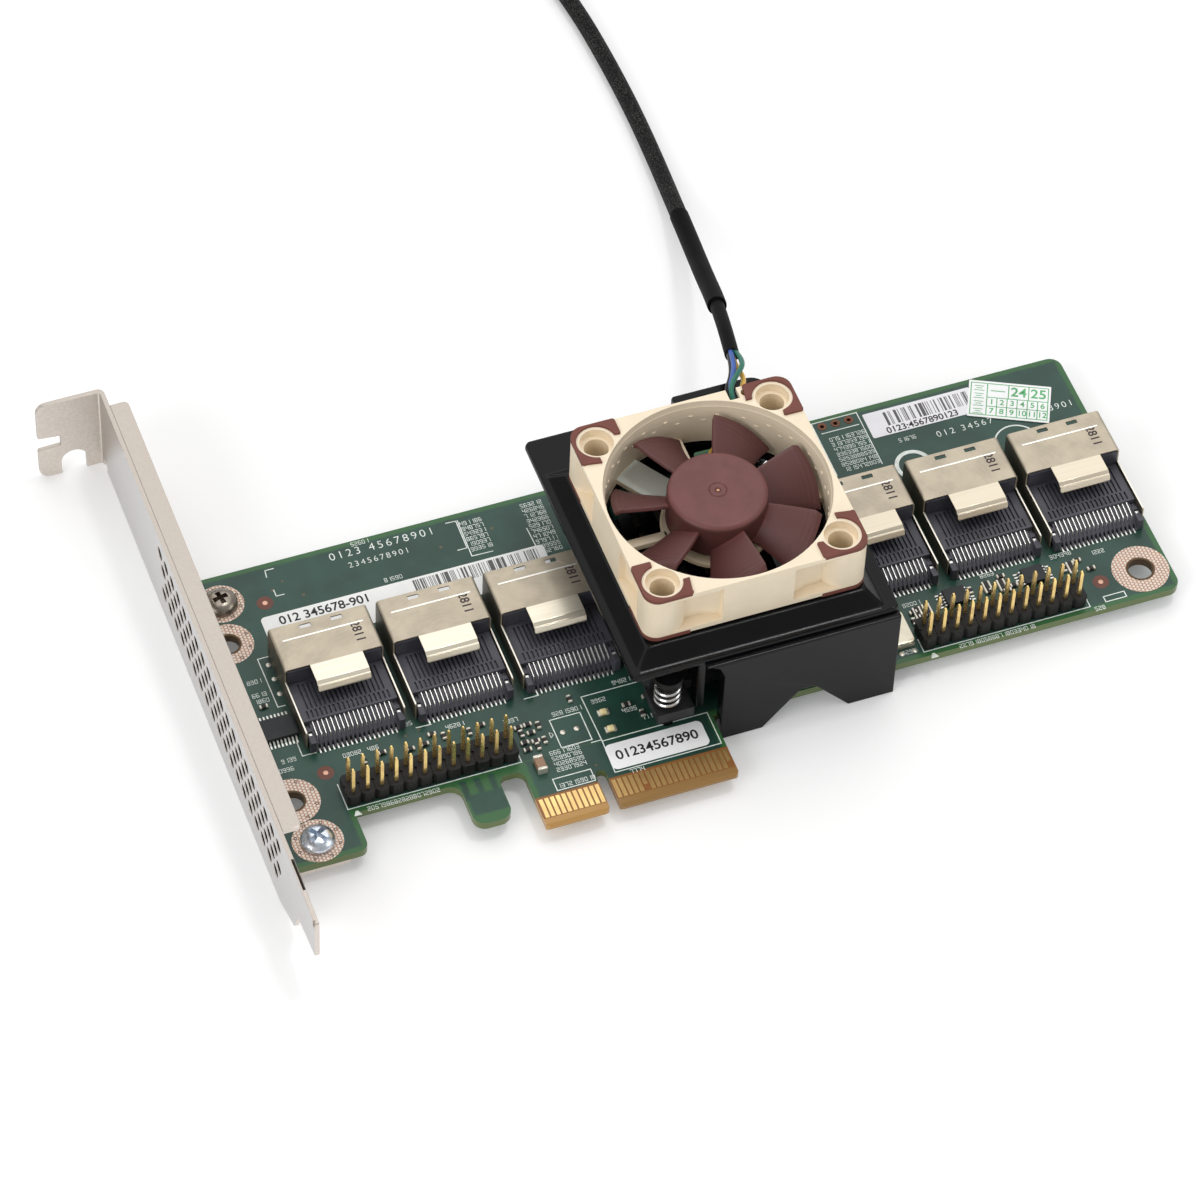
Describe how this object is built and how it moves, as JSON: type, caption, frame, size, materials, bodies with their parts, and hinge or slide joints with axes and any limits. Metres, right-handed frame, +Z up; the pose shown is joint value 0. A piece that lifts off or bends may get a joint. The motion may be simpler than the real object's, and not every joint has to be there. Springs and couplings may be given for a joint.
{
  "type": "storage expander card",
  "caption": "Storage expander card with a vented slot bracket, shielded cable ports, pin headers and a shrouded cooling fan with a turning rotor and a sleeved lead.",
  "frame": {"origin": "middle of the footprint of the card without its lead, on the surface that it lies on", "axes": "+X along the board from the bracket to the far end, +Y from the contact edge to the far long edge, +Z up, out of the component face"},
  "size_m": [0.1796, 0.2523, 0.0351],
  "materials": {
    "board": "glossy dark green solder mask",
    "gold": "bright gold plating",
    "bracket_steel": "satin nickel plating",
    "screw_steel": "plated",
    "header_plastic": "matte black",
    "chip_plastic": "matte dark grey",
    "pad_rubber": "matte grey",
    "heatsink_metal": "black anodised",
    "peg_plastic": "black nylon",
    "spring_steel": "bright wire",
    "shroud_plastic": "glossy black",
    "fan_plastic": "satin cream",
    "fan_rubber": "matte brown",
    "bush_brass": "machined",
    "core_steel": "plain",
    "copper": "enamelled winding",
    "rotor_plastic": "satin brown",
    "magnet": "dark sintered",
    "label_paper": "white print film",
    "lamp_plastic": "clear yellowish",
    "capacitor_ceramic": "tan ceramic",
    "can_metal": "plated lid",
    "wire_rubber": "coloured insulation",
    "shrink_rubber": "satin black",
    "sleeve_fabric": "black braid",
    "plug_plastic": "matte black",
    "port_plastic": "satin black",
    "port_steel": "satin nickel plating",
    "port_contact": "bright plating"
  },
  "bodies": {
    "card": {"bracket": "bracket_steel", "bracket_screws": "screw_steel", "chip_capacitor": "capacitor_ceramic", "circuit_board": "board", "clock_can": "can_metal", "edge_contacts": "gold", "expander_chip": "chip_plastic", "fan_bush": "bush_brass", "fan_driver_board": "board", "fan_frame": "fan_plastic", "fan_lower_pads": "fan_rubber", "fan_shroud": "shroud_plastic", "fan_upper_pads": "fan_rubber", "header_1_base": "header_plastic", "header_1_pins": "gold", "header_2_base": "header_plastic", "header_2_pins": "gold", "heatsink": "heatsink_metal", "label_bars": "label_paper", "label_grid": "label_paper", "label_plain": "label_paper", "label_strip": "label_paper", "lead_inner_tube": "shrink_rubber", "lead_outer_tube": "shrink_rubber", "lead_plug": "plug_plastic", "lead_sleeve": "sleeve_fabric", "lead_wires": "wire_rubber", "logic_chips": "chip_plastic", "port_1_contacts": "port_contact", "port_1_housing": "port_plastic", "port_1_shell": "port_steel", "port_2_contacts": "port_contact", "port_2_housing": "port_plastic", "port_2_shell": "port_steel", "port_3_contacts": "port_contact", "port_3_housing": "port_plastic", "port_3_shell": "port_steel", "port_4_contacts": "port_contact", "port_4_housing": "port_plastic", "port_4_shell": "port_steel", "port_5_contacts": "port_contact", "port_5_housing": "port_plastic", "port_5_shell": "port_steel", "port_6_contacts": "port_contact", "port_6_housing": "port_plastic", "port_6_shell": "port_steel", "push_pin_springs": "spring_steel", "push_pins": "peg_plastic", "stator_coils": "copper", "stator_core": "core_steel", "status_lamps": "lamp_plastic", "thermal_pad": "pad_rubber"},
    "rotor": {"impeller": "rotor_plastic", "rotor_yoke": "core_steel", "rotor_magnet": "magnet", "rotor_shaft": "core_steel"}
  },
  "joints": [
    {"name": "rotor_spin", "type": "hinge", "parent": "card", "child": "rotor", "pos_m": [0.01087, -0.0075, 0.03], "axis": [0, 0, 1], "continuous": true}
  ]
}
